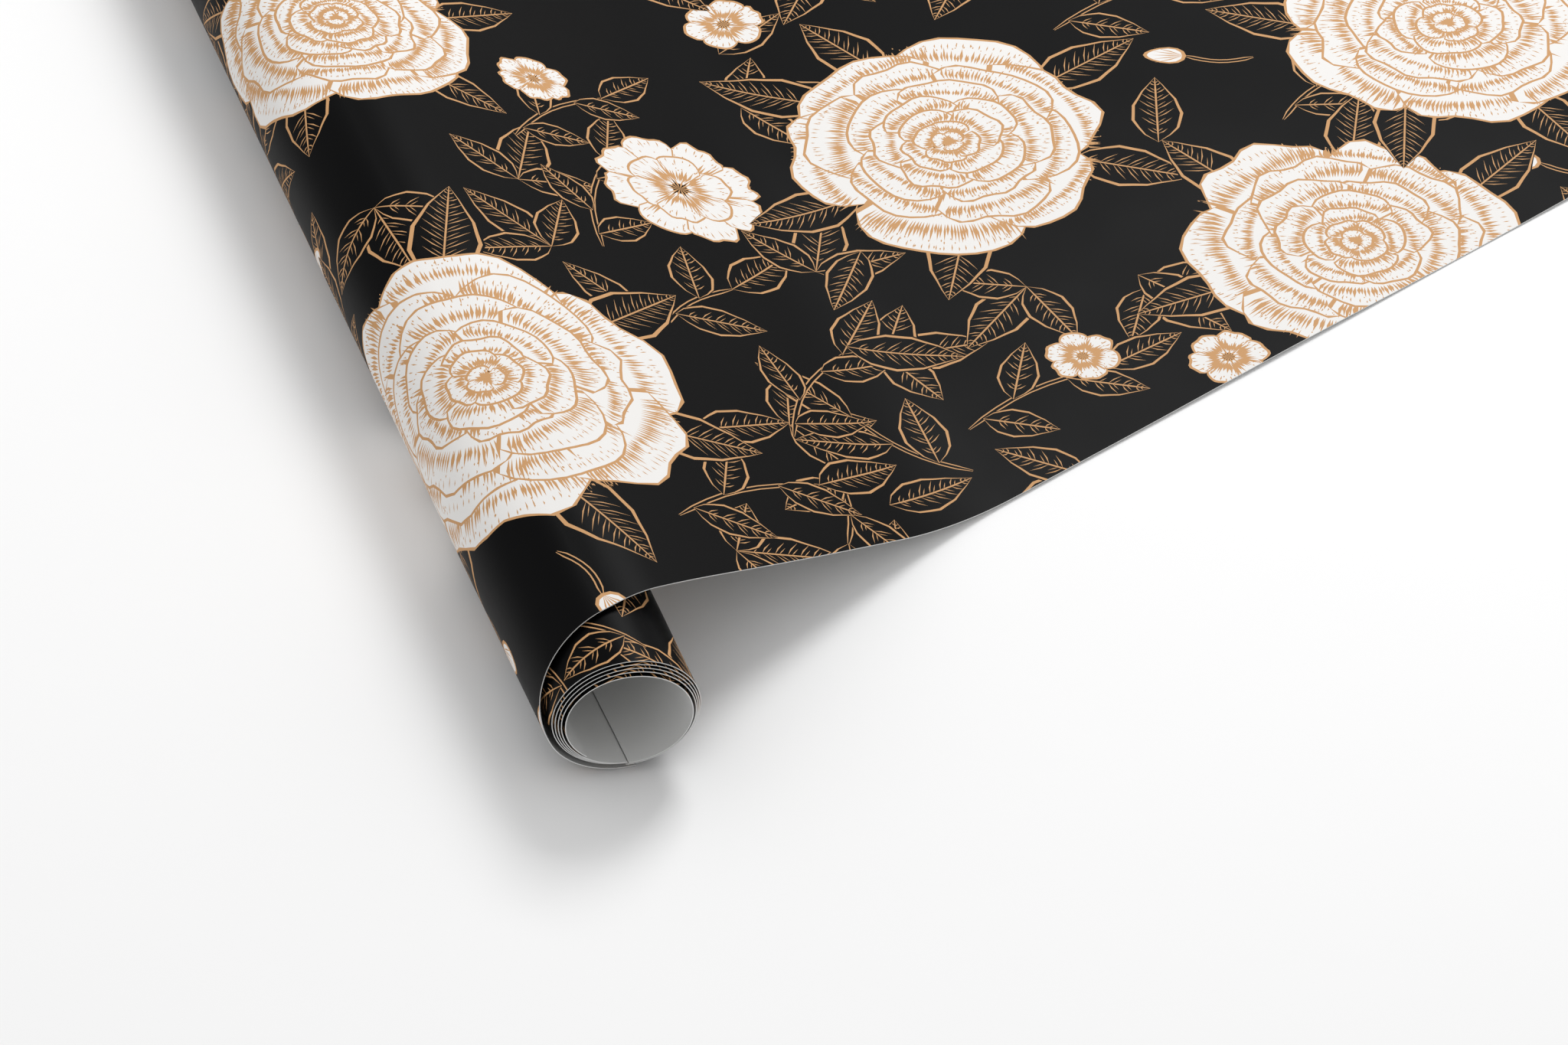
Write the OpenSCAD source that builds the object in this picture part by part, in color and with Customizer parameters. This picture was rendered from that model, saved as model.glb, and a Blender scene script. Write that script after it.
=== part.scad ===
// Coreless roll of printed wrapping paper, partly unrolled.
// One web of paper is drawn as the lengths it is wound, lifted and laid in.
// The coil's axis lies along Y through the origin, and the free sheet leaves the
// coil's top towards +X and comes down to the level that the coil lies on.

/* [Paper] */
// Width of the web, which is the roll's length
web_w = 500; // [350:5:700]
// Thickness that each layer is drawn with
web_t = 0.3; // [0.25:0.05:0.35]

/* [Coil] */
// Outside diameter of the coil
coil_d = 45; // [42:0.5:60]
// Radial step from one turn to the next
pitch = 0.7; // [0.65:0.05:0.8]
// Extra radial slack of the innermost turn
inner_slack = 0.55; // [0.5:0.05:0.8]
// Angle that the innermost turn leaves open past its free end
inner_open = 40; // [20:1:60]
// Length of the outer wrap that laps past the coil's lowest line
bottom_lap = 3; // [1:0.5:6]

/* [Free sheet] */
// Angle between the sheet's run and the square across the coil
skew = 18; // [0:1:25]
// Set-back of the sheet's edge from the coil's end on the top line
top_setback = 18.5; // [5:0.5:30]
// Set-back of the outer wrap's edge from the coil's end on the lowest line
bottom_setback = 1.5; // [0.5:0.5:5]
// Level stretch past the coil's top line
crest_run = 4; // [2:0.5:12]
// Bending radius where the sheet turns down
crest_r = 40; // [25:1:60]
// Steepest slope of the rising stretch
ramp_slope = 22; // [15:1:30]
// Bending radius where the sheet meets the surface
foot_r = 110; // [60:5:130]
// Distance from the coil's axis to the line where the loose end bends up
bend_x = 290; // [230:5:330]
// Distance from the coil's axis to the sheet's far front corner
far_x = 565; // [540:5:700]

/* [Hidden] */
$fn = 96;

// Gap left where two lengths that move apart meet end to end
seam = 0.4;
// Straight steps that each of the rising stretch's two bends is drawn with
arc_steps = 10;
// Larger than anything it has to cut
reach = 2 * (web_w + far_x);

// Middle radii of the layers
outer_r = coil_d / 2 - web_t / 2;
function turn_r(count) = outer_r - (count - 1) * pitch;
inner_r = turn_r(6) - inner_slack;

// Levels of the printed web's middle surface
crest_z = outer_r;
floor_z = -outer_r;

// Side view of the rising stretch: level, crest arc, straight, foot arc
arc_drop = (crest_r + foot_r) * (1 - cos(ramp_slope));
straight = (crest_z - floor_z - arc_drop) / sin(ramp_slope);
land_x = crest_run + straight * cos(ramp_slope) + (crest_r + foot_r) * sin(ramp_slope);
rise_len = crest_run + straight + (crest_r + foot_r) * ramp_slope * PI / 180;

// Plan of the free sheet: its edges run at the skew angle
end_y = -web_w / 2;
skew_w = web_w / cos(skew);
crest_y = end_y + top_setback;
land_y = crest_y + rise_len * tan(skew);
function edge_y(x) = land_y + (x - land_x) * tan(skew);

ink_black = [0.07, 0.07, 0.08];
ink_soft = [0.16, 0.15, 0.15];
paper_white = [0.86, 0.86, 0.85];

// Cross-section of one closed layer
module ring(radius) {
    difference() {
        circle(radius + web_t / 2);
        circle(radius - web_t / 2);
    }
}

// Half of the side-view plane: side is 1 for +X and -1 for -X
module half_plane(side) {
    translate([side > 0 ? 0 : -reach, -reach])
        square([reach, 2 * reach]);
}

// Strip of the side-view plane below the axis, from it to a given X
module below_axis(width) {
    translate([0, -reach])
        square([width, reach]);
}

module half_ring(radius, side) {
    intersection() {
        ring(radius);
        half_plane(side);
    }
}

// Stands a side-view outline up and runs it along the coil
module along_roll(from_y, to_y) {
    translate([0, to_y, 0])
        rotate([90, 0, 0])
            linear_extrude(to_y - from_y)
                children();
}

// Everything on the +Y side of a plane that leans with height
module beyond_leaning_plane(low_y, high_y) {
    lean = atan((high_y - low_y) / (crest_z - floor_z));
    translate([0, (low_y + high_y) / 2, 0])
        rotate([-lean, 0, 0])
            translate([-reach / 2, 0, -reach / 2])
                cube(reach);
}

// One turn: two half rings whose centres differ by half the pitch, so that it
// ends one pitch further in than it starts
module turn_outline(radius) {
    difference() {
        half_ring(radius, 1);
        below_axis(seam);
    }
    translate([0, pitch / 2])
        half_ring(radius - pitch / 2, -1);
}

module turn(count) {
    along_roll(end_y, end_y + web_w)
        turn_outline(turn_r(count));
}

// From the top line over the far side to just past the lowest line
module outer_wrap() {
    color(ink_black)
        difference() {
            intersection() {
                along_roll(end_y, end_y + 2 * web_w)
                    intersection() {
                        ring(outer_r);
                        union() {
                            half_plane(-1);
                            below_axis(bottom_lap);
                        }
                    }
                beyond_leaning_plane(end_y + bottom_setback, crest_y);
            }
            beyond_leaning_plane(end_y + bottom_setback + web_w, crest_y + skew_w);
        }
}

// One face of the rising stretch seen from the side, shift above its middle surface
function crest_face(shift) = [
    for (step = [0:arc_steps])
        let (angle = ramp_slope * step / arc_steps, r = crest_r + shift)
            [crest_run + r * sin(angle), crest_z - crest_r + r * cos(angle)]
];
function foot_face(shift) = [
    for (step = [arc_steps:-1:0])
        let (angle = ramp_slope * step / arc_steps, r = foot_r - shift)
            [land_x - r * sin(angle), floor_z + foot_r - r * cos(angle)]
];
function rising_face(shift) = concat(
    [[0, crest_z + shift]], crest_face(shift), foot_face(shift)
);
function reversed(list) = [for (i = [len(list) - 1:-1:0]) list[i]];

// The sheet between the coil's top line and the line where it lies flat
module rising_sheet() {
    color(ink_black)
        intersection() {
            along_roll(end_y, end_y + 2 * web_w)
                polygon(concat(rising_face(web_t / 2), reversed(rising_face(-web_t / 2))));
            translate([0, 0, floor_z - web_t])
                linear_extrude(coil_d + web_t)
                    polygon([
                        [0, crest_y],
                        [land_x, land_y],
                        [land_x, land_y + skew_w],
                        [0, crest_y + skew_w]
                    ]);
        }
}

module laid_flat() {
    translate([0, 0, floor_z - web_t / 2])
        linear_extrude(web_t)
            children();
}

// The sheet from where it lies flat to the bend line
module flat_sheet() {
    near_x = land_x + seam;
    color(ink_black)
        laid_flat()
            polygon([
                [near_x, edge_y(near_x)],
                [bend_x, edge_y(bend_x)],
                [bend_x, edge_y(bend_x) + skew_w],
                [near_x, edge_y(near_x) + skew_w]
            ]);
}

// The sheet past the bend line, cut square across at its far end
module loose_end() {
    near_x = bend_x + seam;
    color(ink_soft)
        laid_flat()
            polygon([
                [near_x, edge_y(near_x)],
                [far_x, edge_y(far_x)],
                [far_x - web_w * sin(skew), edge_y(far_x) + web_w * cos(skew)],
                [near_x, edge_y(near_x) + skew_w]
            ]);
}

module turn_2() {
    color(ink_soft)
        turn(2);
}

module turn_3() {
    color(ink_black)
        turn(3);
}

module turn_4() {
    color(ink_soft)
        turn(4);
}

module turn_5() {
    color(ink_black)
        turn(5);
}

// The innermost turn is one true arc, open past its free end
module inner_turn() {
    color(paper_white)
        along_roll(end_y, end_y + web_w)
            difference() {
                ring(inner_r);
                below_axis(seam);
                polygon([[0, 0], [0, -coil_d], [-coil_d * tan(inner_open), -coil_d]]);
            }
}

outer_wrap();
rising_sheet();
flat_sheet();
loose_end();
turn_2();
turn_3();
turn_4();
turn_5();
inner_turn();
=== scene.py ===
"""Looks of a coreless roll of rose-printed wrapping paper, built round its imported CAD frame."""
import bpy
import math
import random
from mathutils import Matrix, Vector, geometry


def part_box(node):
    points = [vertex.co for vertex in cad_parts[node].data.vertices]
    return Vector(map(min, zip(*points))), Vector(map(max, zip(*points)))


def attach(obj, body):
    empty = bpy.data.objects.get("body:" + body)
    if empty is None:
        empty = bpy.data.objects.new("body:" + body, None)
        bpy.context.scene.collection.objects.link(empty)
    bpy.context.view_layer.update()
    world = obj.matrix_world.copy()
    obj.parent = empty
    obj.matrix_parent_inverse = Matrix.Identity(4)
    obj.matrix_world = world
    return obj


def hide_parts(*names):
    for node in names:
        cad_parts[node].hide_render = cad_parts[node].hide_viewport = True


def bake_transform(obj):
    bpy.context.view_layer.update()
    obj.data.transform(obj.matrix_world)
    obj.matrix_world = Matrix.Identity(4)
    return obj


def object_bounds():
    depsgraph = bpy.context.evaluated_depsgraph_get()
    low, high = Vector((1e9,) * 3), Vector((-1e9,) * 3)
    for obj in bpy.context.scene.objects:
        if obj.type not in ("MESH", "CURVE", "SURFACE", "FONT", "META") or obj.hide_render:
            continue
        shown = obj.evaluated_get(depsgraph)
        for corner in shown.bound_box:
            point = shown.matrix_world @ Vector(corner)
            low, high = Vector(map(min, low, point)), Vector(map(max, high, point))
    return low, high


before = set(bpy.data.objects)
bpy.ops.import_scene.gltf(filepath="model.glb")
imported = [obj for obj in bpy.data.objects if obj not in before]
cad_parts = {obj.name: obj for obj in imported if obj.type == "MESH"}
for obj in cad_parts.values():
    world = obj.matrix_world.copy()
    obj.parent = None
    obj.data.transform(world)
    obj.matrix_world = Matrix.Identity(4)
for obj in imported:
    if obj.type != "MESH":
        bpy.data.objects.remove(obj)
cad_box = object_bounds()
MM = 0.001
# Material slots of a piece of paper
BLACK, WHITE, GOLD, BACK = range(4)

# Sizes in millimetres, read from the frame where the frame has them
wrap_low, wrap_high = (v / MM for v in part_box("outer_wrap"))
turn_low, turn_high = (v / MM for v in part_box("turn_2"))
BEND_X = (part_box("flat_sheet")[1] / MM).x
FAR_X = (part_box("loose_end")[1] / MM).x
END_Y = turn_low.y
WEB_W = turn_high.y - turn_low.y
# Sizes that part.scad gives: a layer's thickness, the step between turns, the sheet's
# skew and set-back, and the side view of its rising stretch
THICK = 0.3
PITCH = 0.7
BOTTOM_LAP = 3
COIL_R = (wrap_high.z - wrap_low.z) / 2 - THICK / 2
SKEW = math.radians(18)
SLOPE = math.radians(22)
CREST_RUN, CREST_R, FOOT_R = 4, 40, 110
TOP_SETBACK = 18.5
# The angle that a turn spans, and the innermost turn's radius, inward wind and angle
TURN_SPAN = 2 * math.pi - 0.01
INNER_R = COIL_R - 4.05
INNER_SHRINK = 0.35
INNER_SPAN = math.radians(318)
# Depth of print seen on the turns at the coil's end
RIM_PRINT = 30
# The coil's end is slightly askew: how far it stands forward at the top and on the +X
# side, the depth over which its turns draw in, by what share of their radius, and the
# depth over which the slant fades out
RIM_SLANT = (1.4, 3.0)
RIM_DEEP = 45
RIM_PINCH = 0.035
SLANT_DEEP = 90
# The outer wrap's edge comes forward by this much per radian, and stops this short of the rim
WRAP_LEAN = 7.3
WRAP_INSET = 0.4
# Length past the bend line that has a fine grid, where the sheet would curve if the loose end lifted
BENT_LEN = 76
# Height of the soft waves in the free sheet
WAVE = 0.9
STRAIGHT = (2 * COIL_R - (CREST_R + FOOT_R) * (1 - math.cos(SLOPE))) / math.sin(SLOPE)
LAND_X = CREST_RUN + STRAIGHT * math.cos(SLOPE) + (CREST_R + FOOT_R) * math.sin(SLOPE)
RISE = CREST_RUN + STRAIGHT + (CREST_R + FOOT_R) * SLOPE
# Path lengths past the coil's top line: start of the outer wrap, bend line, far corner
WRAP_START = -math.pi * COIL_R - BOTTOM_LAP
BEND_S = RISE + BEND_X - LAND_X
FAR_S = RISE + FAR_X - LAND_X


def smooth(x):
    """Smooth step from 0 to 1."""
    x = min(1.0, max(0.0, x))
    return x * x * (3 - 2 * x)


# Shape of the web --------------------------------------------------------------

def web_side(s):
    """(x, z, angle) of the free web at path length s past the coil's top line."""
    if s < 0:
        a = s / COIL_R
        return COIL_R * math.sin(a), COIL_R * math.cos(a), a
    if s < CREST_RUN:
        return s, COIL_R, 0.0
    s -= CREST_RUN
    if s < CREST_R * SLOPE:
        a = s / CREST_R
        return CREST_RUN + CREST_R * math.sin(a), COIL_R - CREST_R * (1 - math.cos(a)), a
    s -= CREST_R * SLOPE
    if s < STRAIGHT:
        x = CREST_RUN + CREST_R * math.sin(SLOPE) + s * math.cos(SLOPE)
        return x, COIL_R - CREST_R * (1 - math.cos(SLOPE)) - s * math.sin(SLOPE), SLOPE
    s -= STRAIGHT
    if s < FOOT_R * SLOPE:
        a = SLOPE - s / FOOT_R
        return LAND_X - FOOT_R * math.sin(a), -COIL_R + FOOT_R * (1 - math.cos(a)), a
    return LAND_X + s - FOOT_R * SLOPE, -COIL_R, 0.0


def web_point(s, y, lift):
    """Point of the free web, lift above its middle surface, with its soft waves."""
    x, z, a = web_side(s)
    if s > 0:
        wave = 0.5 + 0.5 * math.sin(s / 31 + y / 47) * math.cos(y / 38 - s / 53)
        z += WAVE * wave * smooth(s / 40)
    return Vector((x + lift * math.sin(a), y, z + lift * math.cos(a)))


def rim_tilt(a):
    """Set-back of the coil's end at angle a past the top, below zero where it stands forward."""
    return -RIM_SLANT[0] * math.cos(a) - RIM_SLANT[1] * math.sin(a)


def front_y(s):
    """The web's near edge at path length s."""
    if s >= 0:
        return END_Y + TOP_SETBACK + s * math.tan(SKEW)
    a = s / COIL_R
    return END_Y + max(TOP_SETBACK + WRAP_LEAN * a, rim_tilt(a) + WRAP_INSET)


def back_y(s):
    """The web's far edge: one web width off on the coil, and the skewed width on the flat."""
    full = WEB_W / math.cos(SKEW)
    return front_y(s) + WEB_W + (full - WEB_W) * smooth((s - WRAP_START) / -WRAP_START)


def turn_point(radius, shrink, out):
    """Maps (s, y) to a turn that starts on the coil's lowest line and winds one pitch inwards."""
    def point(s, y, lift):
        turned = s / radius
        a = math.pi - turned
        r = radius - shrink * turned / (2 * math.pi) + lift
        near = smooth((END_Y + RIM_DEEP - y) / RIM_DEEP)
        r *= 1 - RIM_PINCH * near
        shift = rim_tilt(a) * smooth((END_Y + SLANT_DEEP - y) / SLANT_DEEP) - out * near
        return Vector((r * math.sin(a), y + shift, r * math.cos(a)))
    return point


# Print -------------------------------------------------------------------------

class Art:
    """Painter's stack of flat shapes: later shapes cover earlier ones."""

    def __init__(self, seed):
        self.rng = random.Random(seed)
        self.shapes = []

    def add(self, points, ink):
        """Adds a closed shape, turned anticlockwise, which the triangulation needs."""
        pairs = zip(points, points[1:] + points[:1])
        if sum(ax * by - bx * ay for (ax, ay), (bx, by) in pairs) < 0:
            points = points[::-1]
        middle = (sum(p[0] for p in points) / len(points), sum(p[1] for p in points) / len(points))
        self.shapes.append((points, ink, middle))

    def cover(self, points, ink):
        """Adds a closed shape and drops the thin strokes that it hides."""
        cx = sum(p[0] for p in points) / len(points)
        cy = sum(p[1] for p in points) / len(points)
        reach = max(math.hypot(p[0] - cx, p[1] - cy) for p in points)
        kept = []
        for shape in self.shapes:
            (mx, my), thin = shape[2], len(shape[0]) <= 6
            near = abs(mx - cx) < reach and abs(my - cy) < reach
            if not (thin and near and inside(mx, my, points)):
                kept.append(shape)
        self.shapes = kept
        self.add(points, ink)

    def stroke(self, x, y, angle, length, width, ink, bend=0.0):
        """A spindle-shaped pen stroke that starts at x, y."""
        dx, dy = math.cos(angle), math.sin(angle)
        mx, my = x + dx * length * 0.45 - dy * bend, y + dy * length * 0.45 + dx * bend
        w = width / 2
        self.add([(x, y), (mx + dy * w, my - dx * w), (x + dx * length, y + dy * length),
                  (mx - dy * w, my + dx * w)], ink)

    def ribbon(self, path, width, ink):
        """A line of even width that tapers at its ends."""
        left, right = [], []
        last = len(path) - 1
        for i, (x, y) in enumerate(path):
            ax, ay = path[max(0, i - 1)]
            bx, by = path[min(last, i + 1)]
            size = math.hypot(bx - ax, by - ay) or 1
            w = width / 2 * (0.35 if i in (0, last) else 1)
            left.append((x - (by - ay) / size * w, y + (bx - ax) / size * w))
            right.append((x + (by - ay) / size * w, y - (bx - ax) / size * w))
        self.add(left + right[::-1], ink)


def inside(x, y, outline):
    """Whether a point lies inside a closed outline."""
    within = False
    j = len(outline) - 1
    for i, (xi, yi) in enumerate(outline):
        xj, yj = outline[j]
        if (yi > y) != (yj > y) and x < (xj - xi) * (y - yi) / (yj - yi) + xi:
            within = not within
        j = i
    return within


def petal(art, cx, cy, aim, r_in, r_out, half, strokes, show=0.0):
    """One ruffled petal: gold outline, white face and engraved shading.
    Petals further in hide it nearer than show."""
    rng = art.rng
    ruffle = [rng.uniform(-1, 1) for _ in range(3)]

    def edge(t, grow):
        side = t * half
        wave = ruffle[0] * math.sin(5 * t) + ruffle[1] * math.sin(9 * t + 1)
        wave += ruffle[2] * math.cos(3 * t)
        r = r_out * (1 + 0.035 * wave - 0.20 * abs(t) ** 3.2) * grow
        return cx + r * math.cos(aim + side), cy + r * math.sin(aim + side)

    def outline(grow, inset):
        rim = [edge(-1 + inset + (2 - 2 * inset) * i / 12, grow) for i in range(13)]
        root = r_in * (2 - grow) * 0.8
        foot = []
        for k in (1, 0.4, -0.4, -1):
            a = aim + k * half * (0.75 - inset)
            foot.append((cx + root * math.cos(a), cy + root * math.sin(a)))
        return rim + foot

    art.cover(outline(1 + 0.5 / r_out, -0.03), GOLD)
    art.add(outline(1 - 0.45 / r_out, 0.03), WHITE)
    base = max(r_in, show)
    depth = r_out - base
    for k in range(strokes):
        t = -0.9 + 1.8 * (k + rng.uniform(0.2, 0.8)) / strokes
        side = aim + t * half * 0.93
        start = base - 0.10 * depth
        reach = depth * (rng.uniform(0.30, 0.62) + 0.38 * abs(t))
        art.stroke(cx + start * math.cos(side), cy + start * math.sin(side), side + 0.15 * t, reach,
                   rng.uniform(0.7, 1.2), GOLD, bend=t * 0.6)
        if k % 2 == 0:
            end = r_out * (0.965 - 0.20 * abs(t) ** 3.2)
            art.stroke(cx + end * math.cos(side), cy + end * math.sin(side), side + math.pi,
                       depth * rng.uniform(0.12, 0.35), 0.45, GOLD, bend=-t * 0.4)
    for k in range(strokes // 2):
        t = rng.uniform(-0.85, 0.85)
        side = aim + t * half * 0.93
        start = base + depth * rng.uniform(0.35, 0.75)
        art.stroke(cx + start * math.cos(side), cy + start * math.sin(side), side,
                   depth * rng.uniform(0.06, 0.12), 0.5, GOLD)


def rose(art, cx, cy, radius, turn=0.0):
    """A full garden rose seen from above: rings of petals round a tight heart."""
    for k in range(6):
        aim = turn + 0.4 + 2 * math.pi * k / 6 + art.rng.uniform(-0.25, 0.25)
        base = radius * 0.74
        tilt = art.rng.uniform(-0.35, 0.35)
        length = radius * art.rng.uniform(0.66, 0.84)
        leaf(art, cx + base * math.cos(aim), cy + base * math.sin(aim), aim + tilt, length, radius * 0.36)
    rings = ((6, 1.00, 0.66), (6, 0.80, 0.64), (5, 0.62, 0.74), (5, 0.46, 0.72), (4, 0.32, 0.86),
             (4, 0.20, 0.85), (3, 0.10, 1.0))
    for ring, (count, outer, half) in enumerate(rings):
        show = rings[ring + 1][1] * radius if ring + 1 < len(rings) else 0.0
        for k in range(count):
            aim = turn + ring * 0.62 + 2 * math.pi * k / count + art.rng.uniform(-0.13, 0.13)
            size = outer * art.rng.uniform(0.92, 1.06)
            spread = half * art.rng.uniform(0.92, 1.08)
            petal(art, cx, cy, aim, 0.7 * show, size * radius, spread, int(7 + 40 * outer), show)


def small_flower(art, cx, cy, radius, turn=0.0):
    """An open flower: one whorl of petals, or two when it is large."""
    if radius > 20:
        for k in range(8):
            petal(art, cx, cy, turn + 2 * math.pi * k / 8, radius * 0.3, radius, 0.44, 12, radius * 0.5)
        radius *= 0.66
    for k in range(6):
        petal(art, cx, cy, turn + 2 * math.pi * k / 6, radius * 0.2, radius, 0.56, 11, radius * 0.3)
    for k in range(12):
        art.stroke(cx, cy, 2 * math.pi * k / 12, radius * 0.33, 0.7, GOLD)


def leaf(art, x, y, aim, length, width):
    """A pointed dark leaf with a gold edge, a midrib and paired veins."""
    def outline(k):
        pts = []
        for side in (1, -1):
            for i in range(9):
                t = i / 9 if side > 0 else 1 - i / 9
                w = side * width / 2 * k * math.sin(math.pi * t ** 0.8) * (1 + 0.06 * (i % 2))
                along = length * (0.5 + (t - 0.5) * (0.97 + 0.03 * k))
                pts.append((x + along * math.cos(aim) - w * math.sin(aim),
                            y + along * math.sin(aim) + w * math.cos(aim)))
        return pts
    art.cover(outline(1.08), BLACK)
    art.add(outline(1.0), GOLD)
    art.add(outline(0.88), BLACK)
    midrib = [(x + length * t / 5 * math.cos(aim), y + length * t / 5 * math.sin(aim)) for t in range(6)]
    art.ribbon(midrib, 0.6, GOLD)
    veins = max(5, int(length / 4))
    for k in range(1, veins):
        t = k / veins
        span = width / 2 * math.sin(math.pi * t ** 0.8) * 0.95
        for side in (1, -1):
            px, py = x + length * t * math.cos(aim), y + length * t * math.sin(aim)
            art.stroke(px, py, aim + side * 0.85, span, 0.42, GOLD, bend=side * 0.3)
            px, py = px + 1.3 * math.cos(aim), py + 1.3 * math.sin(aim)
            art.stroke(px, py, aim + side * 0.8, span * 0.6, 0.3, GOLD)


def stem(art, path):
    """A hollow line."""
    art.ribbon(path, 1.9, GOLD)
    art.ribbon(path, 1.0, BLACK)


def curve(x0, y0, x1, y1, bow, count=8):
    """Points of a bowed line between two points."""
    nx, ny = y0 - y1, x1 - x0
    path = []
    for i in range(count + 1):
        t, out = i / count, bow * math.sin(math.pi * i / count)
        path.append((x0 + (x1 - x0) * t + nx * out, y0 + (y1 - y0) * t + ny * out))
    return path


def bud(art, x, y, aim, size):
    """A closed bud or hip with its sepals, on a short stem."""
    stem(art, curve(x - 3.2 * size * math.cos(aim), y - 3.2 * size * math.sin(aim), x, y, 0.12))
    for k, grow in ((GOLD, 1.0), (WHITE, 0.82)):
        pts = []
        for i in range(14):
            a = 2 * math.pi * i / 14
            u = size * (0.9 + grow * math.cos(a))
            v = 0.62 * size * grow * math.sin(a) * (1 - 0.25 * math.cos(a))
            pts.append((x + u * math.cos(aim) - v * math.sin(aim),
                        y + u * math.sin(aim) + v * math.cos(aim)))
        art.add(pts, k)
    for k in (-2, -1, 0, 1, 2):
        art.stroke(x, y, aim + 0.2 * k, size * 1.5, 0.5, GOLD, bend=0.12 * k)


def sprig(art, x, y, aim, count, size):
    """A bent stem with leaves on both sides and one at its tip."""
    length = size * count
    path = curve(x, y, x + length * math.cos(aim), y + length * math.sin(aim), 0.08)
    stem(art, path)
    for k in range(count):
        t = (k + 0.6) / (count + 0.3)
        px, py = path[min(len(path) - 1, int(t * (len(path) - 1)))]
        turn = 0.8 if k % 2 else -0.8
        leaf(art, px, py, aim + turn, size * art.rng.uniform(1.35, 1.65), size * 0.72)
    leaf(art, path[-1][0], path[-1][1], aim, size * 1.7, size * 0.8)


# Where the motifs lie on the free web, in millimetres. Each row starts with the
# path length s and the distance y. Roses and small flowers go on with radius and turn,
# leaves with aim, length and width, and sprigs with aim, number of leaves and size.
ROSES = (
    (0, -127, 60, 0.3), (196, -18, 54, 1.1), (296, -108, 52, 2.0), (372, -16, 54, 0.2),
    (10, 55, 44, 0.8), (112, 135, 46, 1.7), (255, 95, 44, 0.5), (20, 222, 44, 2.4),
    (195, 250, 46, 0.1), (335, 190, 45, 1.4), (430, 110, 45, 0.9), (480, 10, 45, 2.6),
    (300, 330, 45, 1.9), (430, 250, 44, 0.4), (115, 300, 42, 1.2),
)
SMALL = (
    (102, -24, 27, 0.2), (195, -130, 11, 0.5), (236, -146, 12, 1.0), (70, 30, 12, 0.3),
    (318, 40, 14, 0.8), (150, 65, 13, 0.1), (395, 335, 14, 0.2), (545, 90, 15, 0.9),
    (250, 190, 13, 0.4), (420, -60, 14, 0.7),
)
LEAVES = (
    (34, 38, 0.9, 34, 15), (128, -104, -0.4, 36, 17), (258, -42, 1.2, 34, 16),
    (226, -100, -1.0, 30, 15), (112, -180, 0.3, 32, 14), (143, 50, 0.5, 30, 14),
    (62, -95, 2.2, 30, 15), (150, -60, -2.2, 32, 14), (60, -150, 0.2, 34, 15),
    (340, -60, 0.4, 32, 15), (-40, -60, 1.4, 30, 14), (-55, -190, 0.8, 30, 14),
)
SPRIGS = (
    (38, -192, 0.35, 3, 19), (92, -150, 0.9, 3, 18), (150, -150, 0.25, 3, 17),
    (62, -60, 1.2, 3, 17), (52, -4, 0.6, 3, 16), (250, 25, 0.2, 3, 18), (300, -45, 0.5, 2, 17),
    (-60, -5, 0.9, 3, 17), (150, 190, 0.6, 3, 19), (60, 115, 0.3, 2, 18), (380, 60, -0.4, 3, 18),
    (70, 265, 1.1, 3, 18), (250, 285, 0.8, 3, 18), (390, 180, 0.5, 2, 18), (520, 60, 1.1, 3, 18),
    (345, 270, 0.9, 3, 18),
)
# Spacing of the loose grid on which the ground between the flowers is filled
CELL = 46
# The same for the hidden turns, with s from the turn's start
TURN_ROSES = (
    (24, -155, 42, 0.6), (105, -60, 42, 1.8), (30, 40, 42, 0.2), (104, 140, 42, 1.0),
    (32, 220, 40, 2.0),
)
TURN_SPRIGS = (
    (60, -244, 0.5, 3, 17), (96, -205, 1.2, 3, 16), (70, -110, 0.8, 3, 17),
    (10, -20, 0.4, 3, 17), (68, 90, 1.0, 3, 17), (80, 190, 0.9, 3, 16), (6, -238, 0.9, 2, 16),
)


def scatter(art, taken, low, high):
    """Fills the ground between the flowers with leaves, sprigs and buds on a loose grid."""
    rng = art.rng
    for column in range(int(low // CELL) - 2, int(high // CELL) + 3):
        for row in range(-7, 10):
            rng.seed(100 * column + row)
            x = column * CELL + rng.uniform(-9, 9)
            y = row * CELL + CELL / 2 * (column % 2) + rng.uniform(-9, 9)
            aim, kind = rng.uniform(0, 2 * math.pi), rng.random()
            if min(math.hypot(x - f[0], y - f[1]) - f[2] for f in taken) < 12:
                continue
            if kind < 0.6:
                for turn, size in ((0, 34), (1.1, 28), (-1.1, 28)):
                    leaf(art, x, y, aim + turn, size * rng.uniform(0.9, 1.1), size * 0.5)
            elif kind < 0.85:
                sprig(art, x - 20 * math.cos(aim), y - 20 * math.sin(aim), aim, 2, 20)
            else:
                bud(art, x, y, aim, 7)


def paint(roses, small, leaves, sprigs, reach=(-100, 700)):
    """The print of one length of paper, as a painter's stack. Each motif has a seed of
    its own, so that two lengths cut at a line agree on both sides of it."""
    art = Art(0)
    low, high = reach
    scatter(art, roses + small, low, high)
    for motif, table in ((sprig, sprigs), (leaf, leaves), (small_flower, small), (rose, roses)):
        for row in table:
            if low - 95 < row[0] < high + 95:
                art.rng.seed(1000 * int(row[0]) + int(row[1]))
                motif(art, *row)
    return [shape[:2] for shape in art.shapes]


# Meshes ------------------------------------------------------------------------

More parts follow.
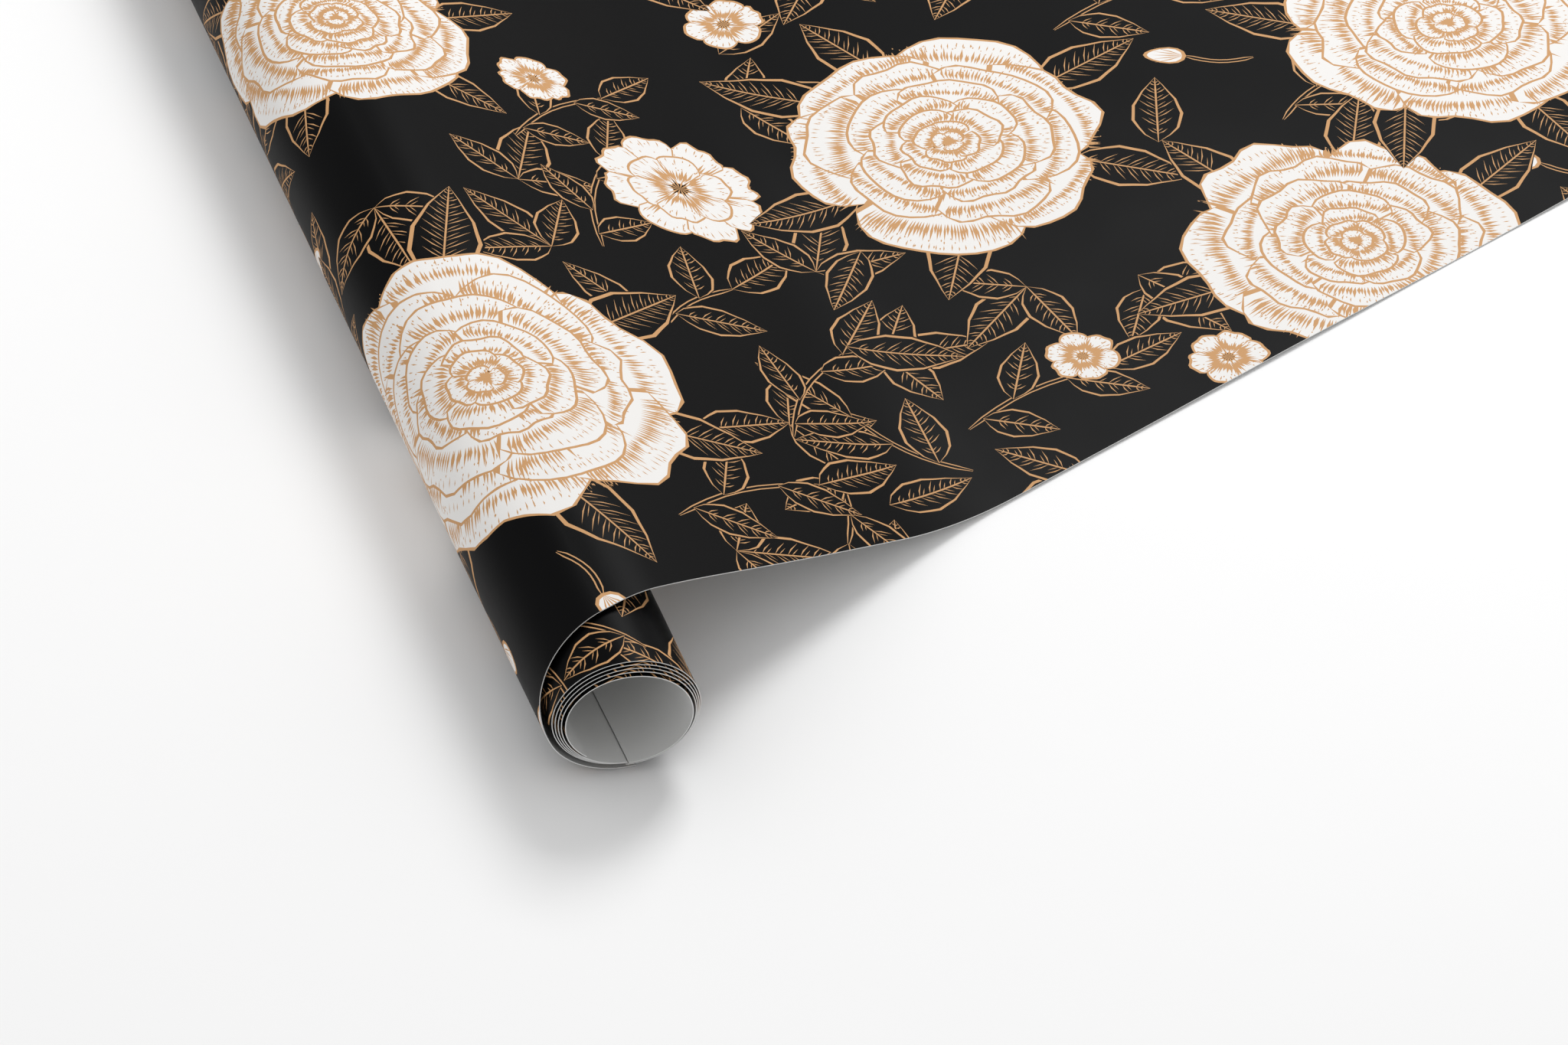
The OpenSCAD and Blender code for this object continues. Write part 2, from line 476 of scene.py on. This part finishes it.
def cut_flat(outline, s_lines, y_lines, shapes):
    """Triangulates a flat length of web along its grid and its print.
    Returns its points, and its triangles with the ink on each."""
    verts = [Vector(p) for p in outline]
    faces = [list(range(len(verts)))]
    inks = [BLACK]
    edges = []
    s_low, s_high = min(p[0] for p in outline), max(p[0] for p in outline)
    y_low, y_high = min(p[1] for p in outline), max(p[1] for p in outline)
    for points, ink in shapes:
        xs = [p[0] for p in points]
        ys = [p[1] for p in points]
        if max(xs) < s_low or min(xs) > s_high or max(ys) < y_low or min(ys) > y_high:
            continue
        first = len(verts)
        verts += [Vector(p) for p in points]
        faces.append(list(range(first, len(verts))))
        inks.append(ink)
    for s in s_lines:
        edges.append((len(verts), len(verts) + 1))
        verts += [Vector((s, y_low - 1)), Vector((s, y_high + 1))]
    for y in y_lines:
        edges.append((len(verts), len(verts) + 1))
        verts += [Vector((s_low - 1, y)), Vector((s_high + 1, y))]
    points, _, tris, _, _, owners = geometry.delaunay_2d_cdt(verts, edges, faces, 0, 1e-4, True)
    kept = [(tri, inks[max(own)]) for tri, own in zip(tris, owners) if 0 in own]
    return points, kept


def paper(name, outline, s_lines, y_lines, shapes, place):
    """A closed thin sheet: printed face, and plain back and cut edges in a grey that is partly painted
    shade.
    """
    points, kept = cut_flat(outline, s_lines, y_lines, shapes)
    used = sorted({i for tri, _ in kept for i in tri})
    order = {i: k for k, i in enumerate(used)}
    count = len(used)
    verts = [place(points[i].x, points[i].y, THICK / 2) * MM for i in used]
    faces = [tuple(order[i] for i in tri) for tri, _ in kept]
    slots = [ink for _, ink in kept]
    rim = {}
    for tri in faces:
        for a, b in zip(tri, tri[1:] + tri[:1]):
            if (b, a) in rim:
                del rim[(b, a)]
            else:
                rim[(a, b)] = True
    loop = dict(rim)
    follow = dict(loop.keys())
    start = next(iter(follow))
    ring = [start]
    while follow[ring[-1]] != start:
        ring.append(follow[ring[-1]])
    flat = [(points[used[i]].x, points[used[i]].y) for i in ring]
    below, back = cut_flat(flat, s_lines, y_lines, [])
    key = {(round(below[i].x, 3), round(below[i].y, 3)): i for tri, _ in back for i in tri}
    spare = sorted({i for tri, _ in back for i in tri})
    under = {i: count + k for k, i in enumerate(spare)}
    verts += [place(below[i].x, below[i].y, -THICK / 2) * MM for i in spare]
    faces += [tuple(under[i] for i in reversed(tri)) for tri, _ in back]
    slots += [BACK] * len(back)
    for a, b in zip(ring, ring[1:] + ring[:1]):
        pa, pb = points[used[a]], points[used[b]]
        ka = key.get((round(pa.x, 3), round(pa.y, 3)))
        kb = key.get((round(pb.x, 3), round(pb.y, 3)))
        if ka is not None and kb is not None:
            faces.append((b, a, under[ka], under[kb]))
            slots.append(BACK)
    mesh = bpy.data.meshes.new(name)
    mesh.from_pydata(verts, [], faces)
    for slot_material in MATERIALS:
        mesh.materials.append(slot_material)
    mesh.polygons.foreach_set("material_index", slots)
    mesh.polygons.foreach_set("use_smooth", [True] * len(slots))
    mesh.validate()
    mesh.update()
    normals = []
    for v in mesh.vertices:
        index = v.index
        flat_point = points[used[index]] if index < count else below[spare[index - count]]
        here = place(flat_point.x, flat_point.y, 0)
        along = place(flat_point.x + 0.5, flat_point.y, 0) - here
        across = place(flat_point.x, flat_point.y + 0.5, 0) - here
        normal = along.cross(across).normalized()
        normals.append(normal if index < count else -normal)
    corners = []
    for face in mesh.polygons:
        edge_face = len(face.vertices) == 4
        corners += [face.normal.copy() if edge_face else normals[i] for i in face.vertices]
    mesh.normals_split_custom_set(corners)
    piece = bpy.data.objects.new(name, mesh)
    bpy.context.scene.collection.objects.link(piece)
    return piece


def steps(low, high, step):
    """Even marks between two values, neither of them included."""
    count = max(1, round((high - low) / step))
    return [low + (high - low) * i / count for i in range(1, count)]


def web_outline(low, high):
    """Outline of the free web between two path lengths."""
    marks = [low] + steps(low, high, 3 if low < 0 else 12) + [high]
    return [(s, front_y(s)) for s in marks] + [(s, back_y(s)) for s in reversed(marks)]


# Materials ---------------------------------------------------------------------

def paper_material(name, colour, rough, fibre, shine):
    """Printed or plain paper: fibre bump, soft cockle and uneven gloss."""
    material = bpy.data.materials.new(name)
    material.use_nodes = True
    nodes, links = material.node_tree.nodes, material.node_tree.links
    shader = nodes["Principled BSDF"]
    shader.inputs["Base Color"].default_value = (*colour, 1)
    shader.inputs["Specular IOR Level"].default_value = shine
    place = nodes.new("ShaderNodeTexCoord")
    grain = nodes.new("ShaderNodeTexNoise")
    grain.inputs["Scale"].default_value = 1400
    grain.inputs["Detail"].default_value = 4
    cockle = nodes.new("ShaderNodeTexNoise")
    cockle.inputs["Scale"].default_value = 22
    cockle.inputs["Detail"].default_value = 2
    gloss = nodes.new("ShaderNodeMapRange")
    gloss.inputs["To Min"].default_value = rough - 0.07
    gloss.inputs["To Max"].default_value = rough + 0.07
    coarse = nodes.new("ShaderNodeBump")
    coarse.inputs["Strength"].default_value = 0.25
    coarse.inputs["Distance"].default_value = 0.0008
    fine = nodes.new("ShaderNodeBump")
    fine.inputs["Strength"].default_value = fibre
    fine.inputs["Distance"].default_value = 0.00005
    for noise in (grain, cockle):
        links.new(place.outputs["Object"], noise.inputs["Vector"])
    links.new(cockle.outputs["Fac"], gloss.inputs["Value"])
    links.new(gloss.outputs["Result"], shader.inputs["Roughness"])
    links.new(cockle.outputs["Fac"], coarse.inputs["Height"])
    links.new(grain.outputs["Fac"], fine.inputs["Height"])
    links.new(coarse.outputs["Normal"], fine.inputs["Normal"])
    links.new(fine.outputs["Normal"], shader.inputs["Normal"])
    return material


MATERIALS = [
    paper_material("ink_black", (0.0015, 0.0015, 0.0017), 0.4, 0.3, 0.04),
    paper_material("ink_white", (0.80, 0.785, 0.765), 0.6, 0.35, 0.07),
    paper_material("ink_gold", (0.56, 0.31, 0.14), 0.5, 0.35, 0.07),
    # The plain back's grey sits well below the paper's white: partly the back's own tone, partly painted
    # shade for the coil's inside.
    paper_material("plain_back_painted_shade", (0.66, 0.66, 0.65), 0.8, 0.6, 0.07),
]


# Pieces ------------------------------------------------------------------------

def make_free_web():
    """Outer wrap, rising stretch and flat sheet as one sheet, then the loose end."""
    s_lines = steps(WRAP_START, 0, 2) + [0] + steps(0, 24, 2) + steps(24, RISE - 44, 8)
    s_lines += steps(RISE - 46, RISE, 4) + steps(RISE, BEND_S, 10)
    y_lines = list(range(-240, 440, 16))
    shapes = paint(ROSES, SMALL, LEAVES, SPRIGS, (-75, BEND_S))
    near = paper("printed_web", web_outline(WRAP_START, BEND_S), s_lines, y_lines, shapes, web_point)
    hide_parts("outer_wrap", "rising_sheet", "flat_sheet")
    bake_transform(near)

    back_corner = (FAR_S - WEB_W * math.sin(SKEW), front_y(FAR_S) + WEB_W * math.cos(SKEW))
    outline = [(BEND_S, front_y(BEND_S)), (FAR_S, front_y(FAR_S)), back_corner,
               (BEND_S, back_y(BEND_S))]
    shapes = paint(ROSES, SMALL, LEAVES, SPRIGS, (BEND_S, FAR_S))
    bent = BEND_S + BENT_LEN
    s_lines = steps(BEND_S, bent, 2) + [bent] + steps(bent, FAR_S, 12)
    loose = paper("printed_loose_end", outline, s_lines, y_lines, shapes, web_point)
    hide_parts("loose_end")
    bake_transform(loose)


def make_turn(node, count, radius, shrink, span, printed_to):
    """One turn of the coil. Its print stops near printed_to, past which nothing shows it."""
    length = span * radius
    out = PITCH * (count - 2)
    print_all = paint(TURN_ROSES, (), (), TURN_SPRIGS, (0, length))
    shapes = [s for s in print_all if min(p[1] for p in s[0]) < printed_to]
    outline = [(0, END_Y), (length, END_Y), (length, END_Y + WEB_W), (0, END_Y + WEB_W)]
    y_lines = [END_Y + 8 * k for k in range(1, 13)] + [END_Y + 40 * k for k in range(3, 12)]
    point = turn_point(radius, shrink, out)
    piece = paper(node + "_paper", outline, steps(0, length, 2), y_lines, shapes, point)
    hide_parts(node)
    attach(piece, "coil" if node == "turn_2" else node)


def make_coil():
    """The four closed turns under the outer wrap and the open innermost one."""
    first = COIL_R - PITCH
    for count in range(2, 6):
        printed_to = END_Y + WEB_W if count == 2 else END_Y + RIM_PRINT
        make_turn(f"turn_{count}", count, first - PITCH * (count - 2), PITCH, TURN_SPAN, printed_to)
    make_turn("inner_turn", 6, INNER_R, INNER_SHRINK, INNER_SPAN, END_Y + RIM_PRINT)


def make_studio():
    """Pale floor, white surround and a soft key light from beyond the sheet."""
    mesh = bpy.data.meshes.new("floor")
    half, level = 6.0, cad_box[0].z - 0.0002
    corners = [(-half, -half), (half, -half), (half, half), (-half, half)]
    mesh.from_pydata([(x, y, level) for x, y in corners], [], [(0, 1, 2, 3)])
    floor = bpy.data.objects.new("floor", mesh)
    pale = paper_material("pale_floor", (0.93, 0.93, 0.93), 0.8, 0.0, 0.0)
    mesh.materials.append(pale)
    bpy.context.scene.collection.objects.link(floor)
    world = bpy.data.worlds.new("studio")
    bpy.context.scene.world = world
    world.use_nodes = True
    world.node_tree.nodes["Background"].inputs["Color"].default_value = (1, 1, 1, 1)
    world.node_tree.nodes["Background"].inputs["Strength"].default_value = 0.66
    lamps = (("key", (0.85, 0.75, 1.3), 0.7, 17), ("fill", (-0.9, 0.5, 1.2), 1.2, 1.5))
    for name, place, size, power in lamps:
        light = bpy.data.lights.new(name, "AREA")
        light.size = size
        light.energy = power
        lamp = bpy.data.objects.new(name, light)
        lamp.location = place
        towards = Vector((0.1, -0.1, 0)) - lamp.location
        lamp.rotation_euler = towards.to_track_quat("-Z", "Y").to_euler()
        bpy.context.scene.collection.objects.link(lamp)


def make_camera():
    """Long lens at 42 degrees above the table, looking over the coil's open end."""
    data = bpy.data.cameras.new("camera")
    data.lens = 120
    data.sensor_width = 36
    data.clip_end = 50
    camera = bpy.data.objects.new("camera", data)
    camera.location = (-0.3174, -1.2299, 0.9983)
    aim = Vector((0.0765, -0.1684, -0.0225))
    camera.rotation_euler = (aim - camera.location).to_track_quat("-Z", "Y").to_euler()
    bpy.context.scene.collection.objects.link(camera)
    bpy.context.scene.camera = camera
    bpy.context.scene.view_settings.view_transform = "Standard"


make_camera()
make_studio()
make_coil()
make_free_web()
